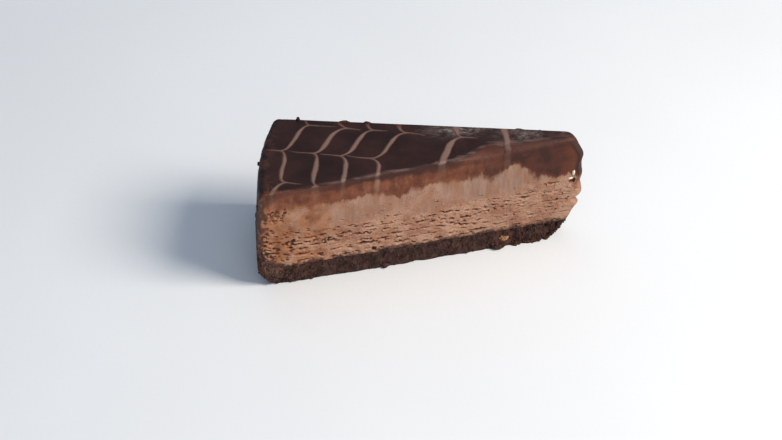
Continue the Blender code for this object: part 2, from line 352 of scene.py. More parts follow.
def ramp(value, low, high, least=0.0, most=1.0):
    made = newNode("ShaderNodeMapRange", (value,))
    made.interpolation_type = "SMOOTHSTEP"
    ends = {"From Min": low, "From Max": high, "To Min": least, "To Max": most}
    return fill(made, {"Value": value, **ends})["Result"]


def axes(vector):
    return addNode("ShaderNodeSeparateXYZ", {"Vector": vector})


def bumped(height, distance):
    return addNode("ShaderNodeBump", {"Distance": distance, "Height": height})["Normal"]


def cloud(vector, scale, detail=3.0, roughness=0.55):
    # Noise at one scale, or at one for each axis, which draws it out into streaks
    if isinstance(scale, tuple):
        vector = addNode("ShaderNodeMapping", {"Vector": vector, "Scale": scale})["Vector"]
        scale = 1.0
    values = {"Vector": vector, "Scale": scale, "Detail": detail, "Roughness": roughness}
    return addNode("ShaderNodeTexNoise", values)["Fac"]


def newGroup(name, treeKind, inputs, outputs):
    # A group of nodes, from the labels of its sockets and their kinds
    tree = bpy.data.node_groups.new(name, treeKind)
    for way, sockets in (("OUTPUT", outputs), ("INPUT", inputs)):
        for label, kind in sockets.items():
            tree.interface.new_socket(label, in_out=way, socket_type="NodeSocket" + kind)
    return tree, tree.nodes.new("NodeGroupInput").outputs, tree.nodes.new("NodeGroupOutput")


grainSizes = ("Mottle Scale", "Grain Scale", "Pore Scale", "Pore Size")


def makeGrainGroup():
    # Broad mottling, fine grain and open pores, at the sizes that a material asks for
    inputs = {"Vector": "Vector", **dict.fromkeys(grainSizes, "Float")}
    outputs = dict.fromkeys(("Mottle", "Grain", "Pores", "Height"), "Float")
    tree, given, result = newGroup("cakeGrain", "ShaderNodeTree", inputs, outputs)
    vector = given["Vector"]
    mottle = ramp(cloud(vector, given["Mottle Scale"]), 0.35, 0.65)
    grain = cloud(vector, given["Grain Scale"], 5.0, 0.65)
    cells = addNode("ShaderNodeTexVoronoi", {"Vector": vector, "Scale": given["Pore Scale"]})
    closed = ramp(reckon("DIVIDE", cells["Distance"], given["Pore Size"]), 0.4, 1.0)
    pores = times(minus(1.0, closed), ramp(grain, 0.45, 0.6))
    fill(result, {"Mottle": mottle, "Grain": grain, "Pores": pores, "Height": minus(grain, pores)})
    return tree


def makeSmearGroup():
    # The brown that the knife dragged down from the glaze, darkest just below it and towards the tip, with a
    # painted orange glint near the tip's end and painted shade over the tip's rounded end as far as Tip Shade
    # says
    inputs = {"Vector": "Vector", "Depth": "Float", "Tip Shade": "Float"}
    tree, given, result = newGroup("smearTone", "ShaderNodeTree", inputs, {"Tone": "Color"})
    vector, tip = given["Vector"], given["Tip Shade"]
    x = axes(vector)["X"]
    blotches = ramp(cloud(vector, 190.0, 5.0), 0.36, 0.64)
    streaks = ramp(cloud(vector, (420, 420, 120), 5.0, 0.65), 0.5, 0.7)
    nearTip = mixShades(blotches, "#34140a", "#4c2213")
    # Painted highlight: an orange glint near the tip's end
    nearTip = mixShades(ramp(x, 0.048, 0.057, 0.0, 0.3), nearTip, "#84421e")
    depth = plus(given["Depth"], centred(cloud(vector, 330.0, 4.0), 5.0))
    fresh = ramp(depth, 4.4, 1.9)
    fresh = times(fresh, ramp(x, -0.045, -0.015, 0.55, 1.0), ramp(x, 0.004, 0.024, 1.0, 0.25))
    tone = layered(
        mixShades(blotches, "#5c2d1a", "#7a452c"),
        (times(streaks, 0.5), "#916046"),
        (ramp(x, 0.008, 0.034), nearTip),
        # Painted shade over the tip's end comes in here with Tip Shade, as dark as the fresh smear
        (greatest(fresh, tip), "#3d1c14"),
        (tip, "#32150c"),
    )
    fill(result, {"Tone": tone})
    return tree


grainGroup = makeGrainGroup()
smearGroup = makeSmearGroup()


def useGroup(group, values):
    made = newNode("ShaderNodeGroup", values.values())
    made.node_tree = group
    return fill(made, values)


def useGrain(vector, piece):
    return useGroup(grainGroup, {"Vector": vector, **dict(zip(grainSizes, piece["grainSizes"]))})


def useSmear(vector, depth, tip):
    return useGroup(smearGroup, {"Vector": vector, "Depth": depth, "Tip Shade": tip})["Tone"]


def startMaterial(name, roughness, specular=0.3):
    made = bpy.data.materials.new(name)
    made.use_nodes = True
    tree = made.node_tree
    shader = tree.nodes["Principled BSDF"]
    fill(shader, {"Metallic": 0, "Roughness": roughness, "Specular IOR Level": specular})

    def read(label):
        # A value that the piece's points carry
        node = tree.nodes.new("ShaderNodeAttribute")
        node.attribute_name = label
        return node.outputs["Fac"]

    return made, read, shader, tree.nodes.new("ShaderNodeTexCoord").outputs["Object"]


# The feathered lines: places along and across the pulled strokes, on the glaze
feathering = {
    "pullAngle": math.radians(-14.0),
    "origin": 67.0,  # all in millimetres from here on
    "pulls": ((6.0, 1), (-10.6, -1), (-28.3, 1)),
    "lines": {  # where each starts, how far the pulls draw it, the tails they leave, its slant and its width
        -45.4: ((3.0, 3.4, 3.4), (1.7, 0.9, 1.0), 0.06, 1.6),
        -33.8: ((5.2, 3.6, 2.6), (0.8, 1.3, 1.0), 0.06, 1.8),
        -23.5: ((4.2, 4.2, 3.0), (0.8, 1.2, 1.0), 0.06, 1.8),
        -12.0: ((4.6, 4.8, 3.0), (0.8, 1.2, 1.0), 0.06, 1.6),
        8.3: ((4.2, 0, 0), (0.6, 0, 0), 0.06, 2.6),
        29.2: ((0.8, 0, 0), (0, 0, 0), -0.2, 2.3),
    },
    "cuspWidth": 0.75,
    "cuspFall": 2.2,
    "cuspShape": 0.75,
    "cuspSpan": 5.5,
    "tail": (5.5, 8.5),
    "tailEnd": 0.2,
    "tailSteps": 120,
    "tailDrift": 0.5,
    "reach": 36.0,
    "step": 0.02,
    "wander": 0.35,
    "wanderSize": 5,
    "seed": 31,
    "height": 0.25 * mm,
}


def featherStrokes():
    # Discs along every line and tail: their places on the pulls' own axes and their half widths
    rng = np.random.default_rng(feathering["seed"])
    discs = []
    narrow, far = feathering["cuspWidth"], feathering["reach"]
    across = np.arange(-far, far, feathering["step"])
    for line, (reaches, tails, slant, widest) in feathering["lines"].items():
        along = line + slant * across
        offPull = np.full_like(across, far)
        for (pull, direction), reach in zip(feathering["pulls"], reaches):
            away = np.abs(across - pull)
            fall = np.exp(-((away / feathering["cuspFall"]) ** feathering["cuspShape"]))
            along = along + direction * reach * fall
            if reach > 1:
                offPull = np.minimum(offPull, away)
        width = narrow + (widest - narrow) * smoothStep(0, feathering["cuspSpan"], offPull)
        discs.append(np.stack([along, across, width / 2], 1))
        for (pull, direction), length in zip(feathering["pulls"], tails):
            if not length:
                continue
            share = np.linspace(0, 1, feathering["tailSteps"])
            start = np.interp(pull, across, along)
            drift = rng.uniform(-feathering["tailDrift"], feathering["tailDrift"]) * share**2
            tail = start + direction * length * rng.uniform(*feathering["tail"]) * share
            width = narrow + (feathering["tailEnd"] - narrow) * share**0.7
            discs.append(np.stack([tail, pull + drift, width / 2], 1))
    return np.vstack(discs)


def featherDistance(places):
    # Millimetres from each place to the edge of the nearest feathered line, less than nothing inside it
    discs = featherStrokes()
    tree = kdtree.KDTree(len(discs))
    for number, (along, across, _) in enumerate(discs.tolist()):
        tree.insert((along, across, 0), number)
    tree.balance()
    cosine, sine = math.cos(feathering["pullAngle"]), math.sin(feathering["pullAngle"])
    x = (places[:, 0] - cake["meetX"]) / mm + feathering["origin"]
    y = (places[:, 1] - cake["meetY"]) / mm
    size = feathering["wanderSize"]
    wander = feathering["wander"] * lumps(x / size, y / size, 0.5, 3.3)
    along = x * cosine + y * sine + wander
    across = y * cosine - x * sine + wander
    found = [tree.find((a, b, 0)) for a, b in zip(along.tolist(), across.tolist())]
    return np.array([distance - discs[number, 2] for _, number, distance in found])


# The filling: a cut face with a brown knife smear, a pale smooth zone and rows of cracks
filling = {
    "spacing": 0.3 * mm,
    "filletRows": 36,
    "edgeShares": (0, 0.1, 0.25, 0.5, 1),
    "middleSteps": 2,
    "lowLevels": 84,
    "highLevels": 28,
    "lowShare": 0.56,
    "waves": (0.15 * mm, 14, 27, 29.3),  # height, sizes along and up the cut in millimetres, and a seed
    "ripples": (0.22 * mm, 2.6, 1.1, 51.3),
    "grain": (0.1 * mm, 0.8, 0.6, 57.3),
    "streaks": (0.05 * mm, 2, 14, 63.3),
    "flush": 1.3 * mm,  # how far from the glaze the relief fades, so that the cut runs on without a step
    "stainX": -15.0 * mm,  # where a feathered line was dragged down the cut
    "stainReach": 3 * mm,
    "smearR": (15.2, 28.1, 32.5, 37.6, 41.9, 47.8, 61.0, 74.4, 79.4, 87.0, 96.6, 102.3, 112.0, 126.0),
    "smearZ": (27.3, 29.8, 35.9, 35.6, 31.5, 32.7, 34.3, 31.7, 30.9, 33.2, 32.2, 31.6, 33.1, 34.2),
    "crackedR": (24.6, 37.1, 52.2, 66.9, 77.5, 89.1, 106.7, 118.7),
    "crackedZ": (27.3, 24.4, 23.3, 22.2, 22.1, 22.6, 21.7, 24.2),
    "backShift": 11.0,
    "grainSizes": (160.0, 900.0, 1500.0, 0.5),
    "bump": 0.14 * mm,
}
cracks = {
    "seeds": (5, 6),  # of the front cut and of the back one
    "mapStep": 0.1 * mm,
    "rowStart": 1.2 * mm,
    "rowGap": (2.3 * mm, 3.0 * mm),
    "length": (2.0, 0.95 * mm, 1.3 * mm),  # shape and scale of the spread, and the least
    "gap": (0.2 * mm, 2.4 * mm),
    "height": (0.45 * mm, 0.85 * mm),
    "depth": (0.6 * mm, 1.2 * mm),
    "lip": 0.21 * mm,
    "pitLip": 0.07 * mm,
    "wander": 0.35 * mm,
    "rowWander": 2.0 * mm,
    "tilt": 0.08,
    "pores": 170,
    "poreSize": (0.35 * mm, 0.7 * mm),
    "rimPits": (  # r, z, their two spreads and how many
        (123.6, 30.0, 1.5, 1.2, 24),
        (125.6, 19.5, 1.1, 4.4, 30),
        (119.5, 18.5, 3.0, 1.4, 22),
        (121.0, 12.6, 3.0, 1.6, 18),
    ),
    "pitSize": (0.5 * mm, 1.1 * mm),
    "chains": 10,
    "singles": (  # height and depth, then each one's r, z and length, all in millimetres
        (0.9, 1.2, (115.5, 16.6, 6.0), (47.5, 9.9, 7.5), (103.0, 16.0, 5.0)),
        (0.9, 1.2, (84.0, 13.2, 5.0), (31.0, 21.0, 4.5)),
        (0.42, 0.65, (21.0, 25.3, 7.5), (20.8, 21.6, 9.5), (29.4, 22.6, 7.0), (19.3, 17.5, 11.0)),
        (0.42, 0.65, (32.9, 18.5, 6.0), (20.6, 14.9, 4.4), (27.0, 12.6, 5.0), (16.5, 19.6, 4.0)),
        (1.9, 1.5, (87.0, 8.9, 1.9), (13.0, 24.9, 2.8)),
    ),
}


def crackMaps(seed):
    # How deep the cracks go and how far their lips stand out, on a fine grid along and up one cut
    rng = np.random.default_rng(seed)
    step = cracks["mapStep"]
    alongPlaces = np.arange(0, radius, step)
    upPlaces = np.arange(0, cake["rimHeight"] + cake["tipRise"], step)
    depth = np.zeros((len(alongPlaces), len(upPlaces)))
    lips = np.zeros_like(depth)

    def press(r, z, length, height, deep, tilt=0.0, wander=0.0, lip=0.0):
        # One crack: an uneven dent, with a lip below it and a lower one above
        reach = 2.5 * height + wander
        i0, i1 = np.searchsorted(alongPlaces, (r - length / 2, r + length / 2))
        j0, j1 = np.searchsorted(upPlaces, (z - reach, z + reach))
        if i1 <= i0 or j1 <= j0:
            return
        along = alongPlaces[i0:i1, None] - r
        ends = np.clip(1 - (2 * along / length) ** 2, 0, 1)
        drift = wander * lumps(along / (1.3 * mm), r / mm, z / mm, seed + 0.3)
        thick = 0.5 * height * (1 + 0.7 * lumps(along / (0.8 * mm), z / mm, r / mm, seed + 0.4))
        off = (upPlaces[None, j0:j1] - z - tilt * along - drift) / thick
        dent = deep * np.clip(ends - off**2, 0, 1) ** 0.6
        rise = np.exp(-(((off + 2.1) / 0.9) ** 2)) + 0.45 * np.exp(-(((off - 2.1) / 0.9) ** 2))
        here = (slice(i0, i1), slice(j0, j1))
        depth[here] = np.maximum(depth[here], dent)
        lips[here] = np.maximum(lips[here], lip * ends * rise)

    def limit(r):
        return np.interp(r / mm, filling["crackedR"], filling["crackedZ"]) * mm

    row = cake["crust"] + cracks["rowStart"]
    while row < limit(tipLoss) + mm:
        r = tipLoss + rng.uniform(1, 3) * mm
        while r < radius - 3 * mm:
            shape, scale, least = cracks["length"]
            length = least + rng.gamma(shape, scale)
            r += length / 2
            z = row + cracks["rowWander"] * float(lumps(r / (10 * mm), row / mm, 0.5, seed + 0.7))
            strong = float(smoothStep(limit(r) + 1.5 * mm, limit(r) - 4 * mm, z))
            hairline = 0.58 + 0.42 * float(smoothStep(26 * mm, 44 * mm, r))  # thinner towards the tip
            whole = 1 - 0.75 * float(smoothStep(112 * mm, 120 * mm, r))  # fewer next to the rim
            if crustTop(r) + 0.8 * mm < z and rng.random() < (0.3 + 0.6 * strong) * whole:
                size = (0.55 + 0.45 * strong) * hairline
                height = size * rng.uniform(*cracks["height"])
                deep = size * rng.uniform(*cracks["depth"])
                tilt, shown = rng.normal(0, cracks["tilt"]), length * (0.5 + 0.5 * size)
                press(r, z, shown, height, deep, tilt, cracks["wander"], cracks["lip"] * size)
            r += length / 2 + rng.uniform(*cracks["gap"])
        row += rng.uniform(*cracks["rowGap"])
    for _ in range(cracks["pores"]):
        r = rng.uniform(14 * mm, 126 * mm)
        z = rng.uniform(cake["crust"], limit(r))
        size = rng.uniform(*cracks["poreSize"])
        if z > crustTop(r):
            press(r, z, size * rng.uniform(1, 2.2), size, rng.uniform(0.3, 0.8) * mm)
    for middleR, middleZ, spreadR, spreadZ, count in cracks["rimPits"]:
        for _ in range(count):
            r, z = rng.normal(middleR, spreadR) * mm, rng.normal(middleZ, spreadZ) * mm
            size = rng.uniform(*cracks["pitSize"])
            if crustTop(r) < z and r < innerWall - size:
                deep, tilt = rng.uniform(0.5, 1.0) * mm, rng.normal(0, 0.2)
                press(r, z, size * 1.7, size, deep, tilt, 0.3 * mm, cracks["pitLip"])
    for _ in range(cracks["chains"]):
        r, length = rng.uniform(50 * mm, 114 * mm), rng.uniform(5 * mm, 8 * mm)
        z = rng.uniform(10 * mm, limit(r) - 2 * mm)
        height, tilt = rng.uniform(0.6, 0.9) * mm, rng.normal(0.03, 0.08)
        press(r, z, length, height, 1.1 * mm, tilt, 0.9 * mm, cracks["lip"])
    for height, deep, *spots in cracks["singles"]:
        for r, z, length in spots:
            press(r * mm, z * mm, length * mm, height * mm, deep * mm, 0.0, cracks["wander"], cracks["lip"])
    return depth, lips


def sampleMap(field, r, z):
    # The field between its grid's places
    step = cracks["mapStep"]
    u = np.clip(r / step, 0, field.shape[0] - 1.001)
    v = np.clip(z / step, 0, field.shape[1] - 1.001)
    i, j = u.astype(int), v.astype(int)
    u, v = u - i, v - j
    low = field[i, j] * (1 - u) + field[i + 1, j] * u
    high = field[i, j + 1] * (1 - u) + field[i + 1, j + 1] * u
    return low * (1 - v) + high * v


def makeFillingMaterial():
    made, read, shader, vector = startMaterial("cutChocolateFilling", 0.7)
    grain = useGrain(vector, filling)
    broad, fine = cloud(vector, (260, 260, 70), 4.0), cloud(vector, (620, 620, 110), 5.0, 0.65)
    blotches = cloud(vector, 420.0, 4.0)
    x = axes(vector)["X"]
    paleShare, warmShare = read("paleShare"), read("warmShare")
    # The tip's painted shade comes in with the smear
    softness, tipShadeShare = read("smearSoftness"), read("tipEdge")
    pale = mixShades(ramp(fine, 0.32, 0.68), "#8a6a58", "#a18070")
    pale = mixShades(ramp(broad, 0.46, 0.62, 0.0, 0.8), pale, "#96684c")
    ragged = plus(centred(broad, 8.0), centred(fine, 3.5), centred(blotches, 3.0))
    smearRise = plus(read("smearRise"), ragged)
    smearShare = greatest(ramp(smearRise, times(softness, -1.0), softness), tipShadeShare)
    smear = useSmear(vector, read("smearDepth"), tipShadeShare)
    smear = mixShades(ramp(smearRise, 2.2, 0.4, 0.0, 0.45), smear, "#6a3520")
    edgeReach = plus(read("edgeReach"), centred(blotches, ramp(x, -0.02, -0.046, 6.0, 13.0)))
    cracked = ramp(read("crack"), 0.1, 0.7, 0.0, 0.85)
    smooth = greatest(smearShare, paleShare)
    face = layered(
        mixShades(grain["Mottle"], "#996b53", "#b0876f"),
        # Painted highlights on the raised grain
        (ramp(grain["Grain"], 0.56, 0.72, 0.0, 0.7), "#c6a48e"),
        (paleShare, pale),
        (ramp(x, 0.01, 0.03, 0.0, 0.11), "#4e3022"),
        (warmShare, mixShades(grain["Mottle"], "#7e4b2e", "#a6714f")),
        # Painted highlight along the lips of the cracks
        (ramp(read("lip"), 0.05, 0.2, 0.0, 0.4), "#cca78f"),
        (smearShare, smear),
        (read("lineStain"), "#98745f"),
        # Darker next to the crust, where crumbs smudge up, and painted shade along the rim end next to the
        # coat
        (ramp(edgeReach, 1.9, -0.1, 0.0, 0.9), "#442c23"),
        # Painted shade inside the cracks
        (cracked, mixShades(warmShare, "#4a2415", "#5a2810")),
        # Painted shade in the open pores
        (times(grain["Pores"], ramp(smooth, 0.2, 0.9, 0.35, 0.06)), "#4a2717"),
    )
    normal = bumped(times(grain["Height"], ramp(smooth, 0.2, 0.9, 1.0, 0.2)), filling["bump"])
    fill(shader, {"Base Color": face, "Roughness": ramp(smearShare, 0.2, 1.0, 0.75, 0.6), "Normal": normal})
    return made


def tipEdge(r, z):
    # Painted shade over the rounded end of the tip, as dark as the smear: how much of it falls on each place
    high = smoothStep(21 * mm, 27 * mm, z + 3 * mm * lumps(r / mm, 0.5, z / (3 * mm), 105.3))
    return 0.85 * high * smoothStep(1.7 * mm, 0.3 * mm, r - tipLoss)


def cutLumps(r, side, z, sizeR, sizeZ, seed):
    # Lumps on the cuts, of one size along them and another up them, both in millimetres
    return lumps(r / (sizeR * mm), side, z / (sizeZ * mm), seed)


def cutShares(r, z, side):
    # How far each place on a cut is smeared brown, pale and smooth, or warm near the rim
    blotches = partial(cutLumps, r, side, z)
    lookup = r / mm + filling["backShift"] * side
    crackRise = z / mm - np.interp(lookup, filling["crackedR"], filling["crackedZ"])
    smearRise = z / mm - np.interp(lookup, filling["smearR"], filling["smearZ"])
    smearRise = smearRise + 1.2 * blotches(4.5, 8, 91.3)
    soft = 0.8 + 2.1 * smoothStep(102, 120, lookup) + 1.6 * np.maximum(0, blotches(9, 9, 95.3))
    zone = smoothStep(-2.5, 3, crackRise + 3.0 * blotches(6, 3, 97.3))
    patches = blotches(8, 12, 99.3) + 0.5 * blotches(1.6, 7, 101.3)
    nearRim = smoothStep(88, 116, lookup)
    pale = zone * (0.35 + 0.65 * smoothStep(-0.4, 0.3, patches)) * (1 - 0.75 * nearRim)
    warm = nearRim * smoothStep(-0.6, 0.2, blotches(5, 5, 103.3))
    shares = dict(smearRise=smearRise, smearSoftness=soft, paleShare=pale, warmShare=warm)
    return shares, smoothStep(2, -3, crackRise)


def makeFilling():
    low = filling["lowShare"] * np.arange(filling["lowLevels"]) / filling["lowLevels"]
    levels = np.append(low, np.linspace(filling["lowShare"], 1, filling["highLevels"]))
    _, r, t, up, faces = gridShell(rowsAlong(filling), levels, filling)
    bottom, under = crustTop(r) + seamWave(r, t), glazeUnderside(r, t)
    z = bottom + (under - bottom) * up
    side = np.round(t)
    maps = [crackMaps(seed) for seed in cracks["seeds"]]
    crack, lip = (np.where(side == 0, *(sampleMap(cut[n], r, z) for cut in maps)) for n in (0, 1))
    values, lowPart = cutShares(r, z, side)

    def uneven(label, share):
        height, *lump = filling[label]
        return share * height * cutLumps(r, side, z, *lump)

    relief = uneven("waves", 1) - crack + lip
    relief = relief + uneven("ripples", lowPart) + uneven("grain", lowPart) + uneven("streaks", 1 - lowPart)
    nearCoat = np.minimum(under - z, innerWall - r) / filling["flush"]
    places = placeWithRelief(r, t, z, relief * smoothStep(0, 1, nearCoat))
    stain = smoothStep(0.4, -0.5, featherDistance(places)) * smoothStep(-8, -1, (z - under) / mm)
    offStain = (places[:, 0] - filling["stainX"]) / filling["stainReach"]
    stain = stain * (0.15 + 0.6 * np.exp(-(offStain**2)))
    reach, depth = np.minimum(z - bottom, innerWall - r), levelTop(r) - z
    values.update(crack=crack / mm, lip=lip / mm, edgeReach=reach / mm, smearDepth=depth / mm)
    values.update(lineStain=stain, tipEdge=tipEdge(r, z))
    made = makeMesh("cutFilling", places, faces, makeFillingMaterial(), values)
    keepCorners(made.data)
    settle(made, "chocolate_filling", "chocolate_filling")
    print("filling:", len(faces) * 2, "triangles")


# The glaze: a poured top, a rolled rim corner and a thin coat down the wall
glaze = {
    "spacing": 0.28 * mm,
    "wallSpacing": 0.42 * mm,
    "countStep": 8,
    "frontShares": (0, 0.04, 0.12, 0.25, 0.42, 0.62, 0.82, 1),
    "backShares": (0.75, 0.5, 0.25, 0.08, 0),
    "bandSteps": 4,
    "innerSteps": 8,
    "cornerRows": 10,
    "tipRound": 1.6 * mm,
    "tipDrop": 0.9 * mm,
    "waves": 0.10 * mm,
    "wallLumps": 0.35 * mm,
    "rimLumps": 0.22 * mm,
    "cutFade": 0.9 * mm,  # how far from the cuts the relief starts, so that the cut edges stay clean
    "darkR": (10.4, 16.5, 27.2, 35.4, 44.2, 51.5, 58.7, 66.0, 110.0, 118.0, 126.0),
    "darkInset": (2.6, 1.5, 2.6, 3.6, 5.5, 1.7, 0.0, -0.6, -0.6, 1.0, 2.2),  # from the front cut, mm
    "blooms": ((14.0, 8.5, 9.5, 4.0, 1.0), (36.0, 3.0, 8.0, 3.5, 0.75)),  # x, y, two reaches and a strength
    "grainSizes": (90.0, 1500.0, 1150.0, 0.6),
    "bump": 0.12 * mm,
}


def makeGlazeMaterial():
    made, read, shader, vector = startMaterial("featheredDarkGlaze", 0.3)
    grain = useGrain(vector, glaze)
    wander = cloud(vector, 260.0, 4.0)
    x, y, z = axes(vector)
    onWall, bloom = read("wallShare"), read("bloom")
    edgeDrop = read("edgeDrop")
    # The smear carries the painted shade over the tip's end
    smear = useSmear(vector, edgeDrop, read("tipEdge"))
    wornRise = plus(read("wornRise"), centred(wander, 3.0))
    worn = ramp(wornRise, -0.3, 1.3)
    edge = ramp(plus(edgeDrop, centred(wander, 0.9)), 0.3, 1.0)
    gleam = times(ramp(wornRise, -2.3, -0.9), ramp(wornRise, 0.9, 0.0), ramp(x, -0.042, -0.025))
    gleam = times(gleam, ramp(cloud(vector, (90, 520, 520), 4.0), 0.4, 0.62, 0.05, 0.62))
    wiped = times(onWall, ramp(z, 0.033, 0.039, 0.5, 0.95), ramp(y, 0.018, 0.006, 0.35, 1.0))
    wiped = times(wiped, ramp(cloud(vector, (300, 300, 170), 5.0, 0.6), 0.4, 0.68))
    bloomShare = times(bloom, ramp(cloud(vector, (420, 1000, 1000), 6.0, 0.7), 0.4, 0.62, 0.12, 0.85))
    bloomShare = times(bloomShare, ramp(grain["Pores"], 0.0, 0.8, 1.0, 0.2))
    distance = plus(read("lineDistance"), centred(wander, 0.5))
    line = ramp(distance, 0.26, -0.2)
    lineEnd = times(read("lineEnd"), ramp(x, 0.006, 0.012, 1.0, 0.1))
    lineTone = mixShades(ramp(distance, -0.05, -0.6), "#65483d", "#7d6257")
    dragged = ramp(cloud(vector, (700, 700, 420), 5.0, 0.65), 0.4, 0.62, 0.1, 0.85)
    sparkle = ramp(grain["Grain"], 0.52, 0.66, 0.0, 0.5)
    face = layered(
        mixShades(grain["Mottle"], "#27140d", "#341d15"),
        # Painted shade on the coat down the rim wall
        (onWall, "#22120d"),
        (worn, mixShades(0.5, smear, "#532e20")),
        (gleam, "#765b54"),
        (wiped, "#512d1e"),
        (times(read("rimSparkle"), sparkle), "#7a4c38"),
        (bloomShare, "#93857f"),
        (times(line, ramp(worn, 0.0, 1.0, 1.0, 0.55)), mixShades(lineEnd, lineTone, "#5a3025")),
        (times(edge, ramp(line, 0.0, 1.0, 1.0, 0.7)), smear),
        (times(read("coatCut"), dragged), "#69473b"),
    )
    dull = greatest(worn, edge, onWall)
    rough = plus(ramp(dull, 0.0, 1.0, 0.3, 0.6), times(line, 0.12), times(bloomShare, 0.3))
    coarse = greatest(ramp(dull, 0.0, 1.0, 0.06, 0.5), times(greatest(bloom, onWall), 0.8))
    normal = bumped(times(grain["Height"], coarse), glaze["bump"])
    fill(shader, {"Base Color": face, "Roughness": rough, "Normal": normal})
    return made


def glazeRings():
    # Closed rings from the tip to the foot of the coat: r, drop, inner r and how far down the wall
    corner, roll = radius - cake["glazeCorner"], cake["glazeCorner"]
    rings = []
    for r in np.arange(tipLoss, corner, glaze["spacing"]):
        drop = float(roundDrop((r - tipLoss) / glaze["tipRound"], glaze["tipDrop"]))
        rings.append((r, drop, r, 0.0))
    quarter = 0.5 * math.pi
    for turn in quarter * np.arange(1, glaze["cornerRows"] + 1) / glaze["cornerRows"]:
        inner = corner + (innerWall - corner) * turn / quarter
        rings.append((corner + roll * math.sin(turn), roll * (1 - math.cos(turn)), inner, 0.0))
    wallRows = int((cake["rimHeight"] - cake["lip"]) / glaze["wallSpacing"])
    for share in np.arange(1, wallRows + 1) / wallRows:
        rings.append((radius, roll, innerWall, share))
    return rings


def glazeRing(r, drop, innerR, down):
    # One ring: over the top, down the back cut, under, and up the front cut, with each point's place along it
    front, back = (float(reach / widthAt(r)) for reach in edgeReaches(r))
    count = widthAt(r) / glaze["wallSpacing"] if down else widthAt(r) * (1 - front - back) / glaze["spacing"]
    count = glaze["countStep"] * max(1, round(count / glaze["countStep"]))
    middle = front + (1 - back - front) * np.arange(1, count) / count
    first, last = front * np.array(glaze["frontShares"]), 1 - back * np.append(1, glaze["backShares"])
    t = np.concatenate([first, middle, last])
    inner = np.linspace(1, 0, glaze["innerSteps"] + 1)
    foot = cake["lip"]
    top, under = topHeight(r, t) - drop, glazeUnderside(innerR, inner)
    top, under = top + (foot - top) * down, under + (foot - under) * down
    steps = np.arange(1, glaze["bandSteps"]) / glaze["bandSteps"]
    backR, frontR = r + (innerR - r) * steps, innerR + (r - innerR) * steps
    backZ, frontZ = top[-1] + (under[0] - top[-1]) * steps, under[-1] + (top[0] - under[-1]) * steps
    allR = np.concatenate([np.full(len(t), r), backR, np.full(len(inner), innerR), frontR])
    allT = np.concatenate([t, np.ones(len(steps)), inner, np.zeros(len(steps))])
    allZ = np.concatenate([top, backZ, under, frontZ])
    along = np.concatenate([t, 1 + steps, 3 - inner, 3 + steps])
    return allR, allT, allZ, along


def zipRings(first, second):
    # Triangles between two closed rings, each given as its first index and its points' places along it
    (startA, placesA), (startB, placesB) = first, second
    countA, countB = len(placesA), len(placesB)
    goalsA, goalsB = list(placesA) + [4.0], list(placesB) + [4.0]
    faces, a, b = [], 0, 0
    while a < countA or b < countB:
        here, there = startA + a % countA, startB + b % countB
        if b == countB or (a < countA and goalsA[a + 1] <= goalsB[b + 1]):
            a += 1
            faces.append((here, startA + a % countA, there))
        else:
            b += 1
            faces.append((here, startB + b % countB, there))
    return faces


def makeGlaze():
    rings = glazeRings()
    outlines = [glazeRing(*ring) for ring in rings]
    counts = [len(outline[0]) for outline in outlines]
    r, t, z, along = (np.concatenate(parts) for parts in zip(*outlines))
    turned, down = (np.repeat([ring[n] for ring in rings], counts) for n in (1, 3))
    starts = np.cumsum([0] + counts)
    faces = []
    for n in range(len(rings) - 1):
        faces += zipRings((starts[n], outlines[n][3]), (starts[n + 1], outlines[n + 1][3]))
    faces.append(list(range(starts[0], starts[1]))[::-1])
    faces.append(list(range(starts[-2], starts[-1])))
    places = placeOnSlice(r, t, z)
    distance = featherDistance(places)
    x, y, h = places.T / mm
    width = widthAt(r) / mm
    outer = along <= 1
    onTop = outer & (down == 0)
    edgeDrop = (levelTop(r) - turned - z) / mm * (down == 0)
    nearBack = smoothStep(4.2, 1.6, (1 - t) * width)
    bump = feathering["height"] * smoothStep(0.15, -0.55, distance) * (1 - nearBack) * onTop
    bump = bump + glaze["waves"] * lumps(x / 9, y / 9, 0.5, 71.3) * onTop
    pastCorner = r - (radius - cake["glazeCorner"])
    wallShare = smoothStep(-4 * mm, 1.5 * mm, pastCorner)
    wallLumps = np.abs(lumps(x / 3, y / 3, h / 3, 61.3) + 0.4 * lumps(x, y, h, 67.3))
    bump = bump - glaze["wallLumps"] * wallLumps * wallShare * outer
    rimSparkle = smoothStep(118, 125, r / mm) * smoothStep(11, 5, t * width) * outer
    bump = bump - glaze["rimLumps"] * np.abs(lumps(x * 1.2, y * 1.2, h * 1.2, 69.3)) * rimSparkle
    bump = bump * smoothStep(0, glaze["cutFade"], np.minimum(t, 1 - t) * widthAt(r))
    wornRise = np.interp(r / mm, glaze["darkR"], glaze["darkInset"]) - t * width
    wornRise = np.where(down > 0, -5, wornRise)
    bloom = np.zeros_like(r)
    for middleX, middleY, reachX, reachY, strength in glaze["blooms"]:
        spot = np.exp(-(((x - middleX) / reachX) ** 2) - ((y - middleY) / reachY) ** 2)
        bloom = np.maximum(bloom, strength * spot)
    bloom = bloom * smoothStep(-0.3, 0.3, lumps(x / 4, y / 4, 0.5, 75.3) + 0.25) * onTop
    values = dict(lineDistance=distance, edgeDrop=edgeDrop, wallShare=wallShare, wornRise=wornRise)
    values.update(bloom=bloom, rimSparkle=rimSparkle, lineEnd=nearBack, tipEdge=tipEdge(r, z))
    values.update(coatCut=smoothStep(0, mm, pastCorner) * ~outer)
    made = makeMesh("featheredGlaze", places, faces, makeGlazeMaterial(), values)
    pushOut(made.data, bump)
    shape = bmesh.new()
    shape.from_mesh(made.data)
    bmesh.ops.triangulate(shape, faces=[face for face in shape.faces if len(face.verts) > 4])
    shape.to_mesh(made.data)
    shape.free()
    keepCorners(made.data)
    settle(made, "chocolate_glaze", "chocolate_glaze")
    print("glaze:", len(made.data.polygons), "triangles")


